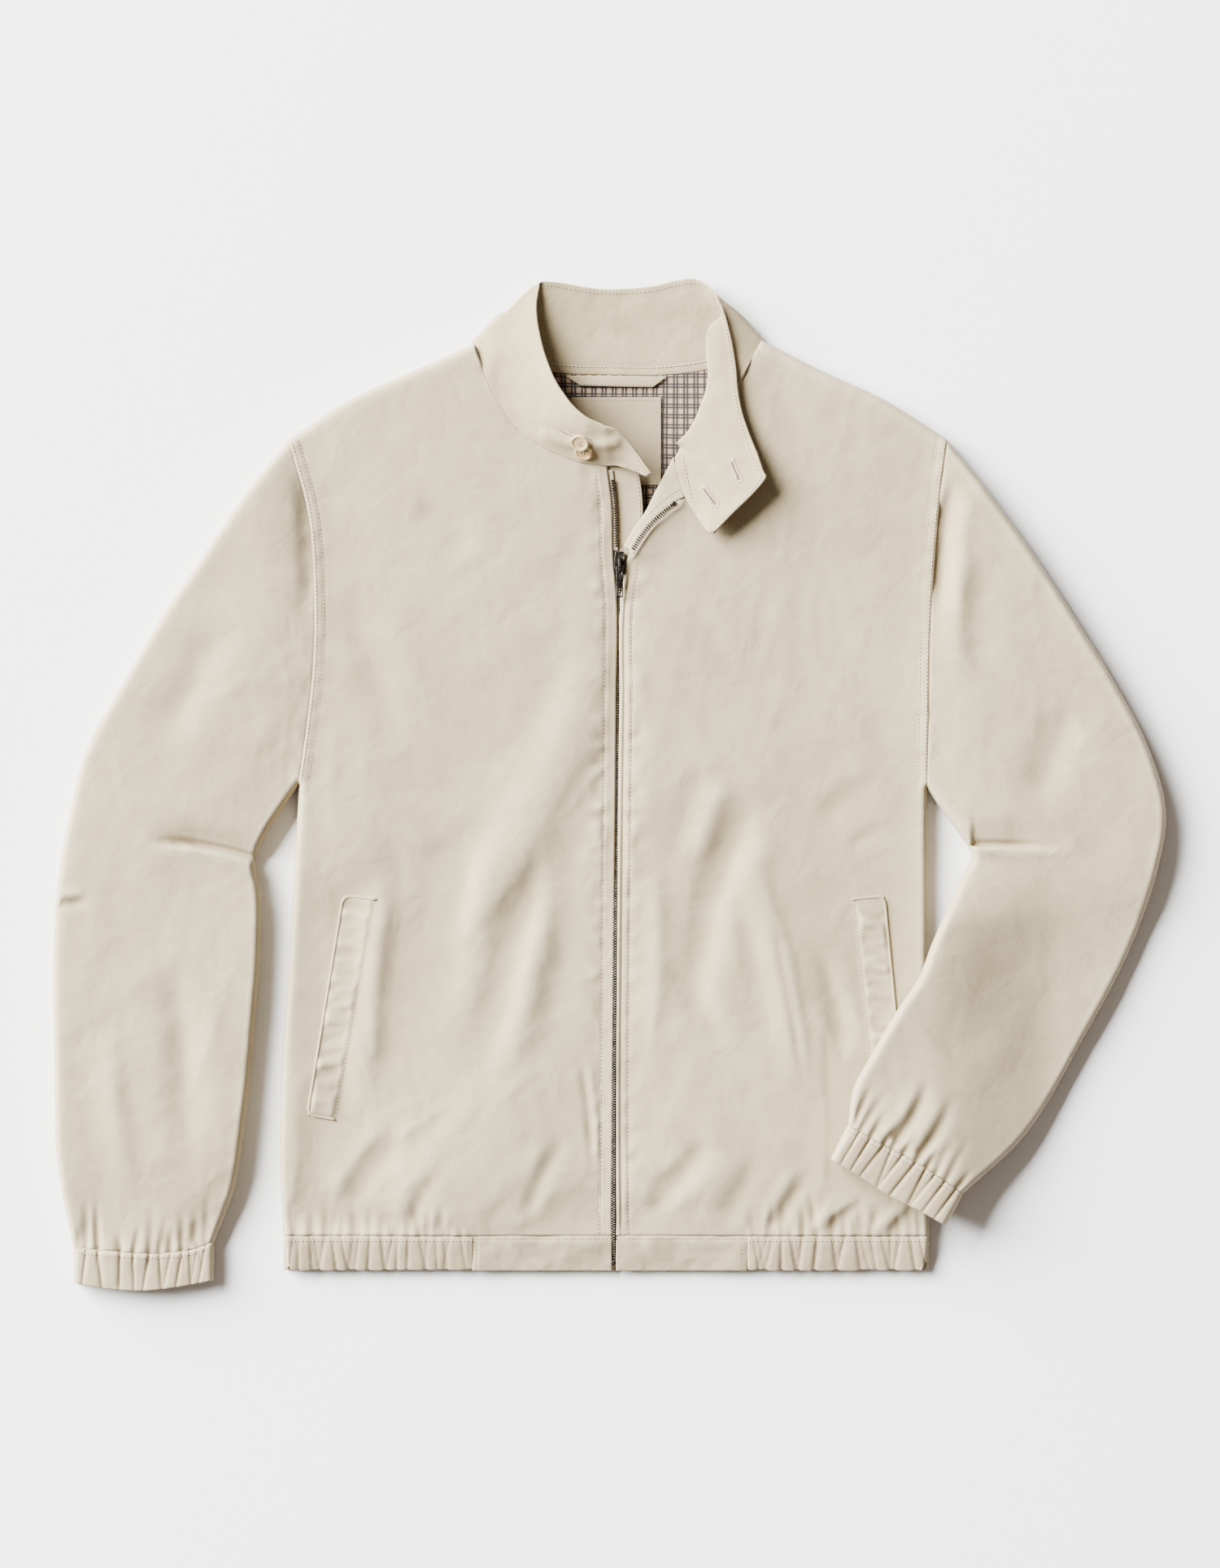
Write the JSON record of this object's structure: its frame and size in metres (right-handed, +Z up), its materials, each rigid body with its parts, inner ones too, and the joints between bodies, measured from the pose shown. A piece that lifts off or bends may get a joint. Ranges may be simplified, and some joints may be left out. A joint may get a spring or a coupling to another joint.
{
  "type": "harrington jacket",
  "caption": "Zip-front cotton jacket with a stand collar and elasticated hem and cuffs, laid flat on its back with the neck open and one arm bent over the front.",
  "frame": {"origin": "on the floor under the centre front, level with the armpits, at the flat face of the back panel's underside", "axes": "+Z up from the floor the jacket lies on, +Y towards the collar, +X towards the wearer's left sleeve"},
  "size_m": [0.8216, 0.7443, 0.0369],
  "materials": {
    "shell_cloth": "washed cotton twill, stone",
    "rib_cloth": "the same cotton gathered over elastic",
    "collar_cloth": "the same cotton, interlined",
    "lining_cloth": "woven check cotton lining",
    "label_cloth": "bare woven satin label",
    "zip_tape_cloth": "woven zip tape",
    "zip_metal": "dark antique brass, satin",
    "button_horn": "polished horn effect"
  },
  "bodies": {
    "jacket": {"back": "shell_cloth", "front_right": "shell_cloth", "front_left": "shell_cloth", "facing_left": "shell_cloth", "sleeve_right": "shell_cloth", "sleeve_left": "shell_cloth", "cuff_right": "rib_cloth", "cuff_left": "rib_cloth", "hem_elastic": "rib_cloth", "hem_tab_right": "shell_cloth", "hem_tab_left": "shell_cloth", "collar": "collar_cloth", "pocket_welt_right": "shell_cloth", "pocket_welt_left": "shell_cloth", "pocket_piping_right": "shell_cloth", "pocket_piping_left": "shell_cloth", "lining_back": "lining_cloth", "label": "label_cloth", "hanger_loop": "shell_cloth", "zip_guard": "shell_cloth", "zip_tape": "zip_tape_cloth", "zip_chain": "zip_metal", "zip_teeth_right": "zip_metal", "zip_teeth_left": "zip_metal", "zip_slider": "zip_metal", "button_lower": "button_horn", "button_upper": "button_horn"},
    "pull_tab": {"zip_pull": "zip_metal"}
  },
  "joints": [
    {"name": "pull_tab_hinge", "type": "hinge", "parent": "jacket", "child": "pull_tab", "pos_m": [0.0041, 0.1576, 0.0183], "axis": [-1, 0, 0], "range_deg": [0, 150]}
  ]
}
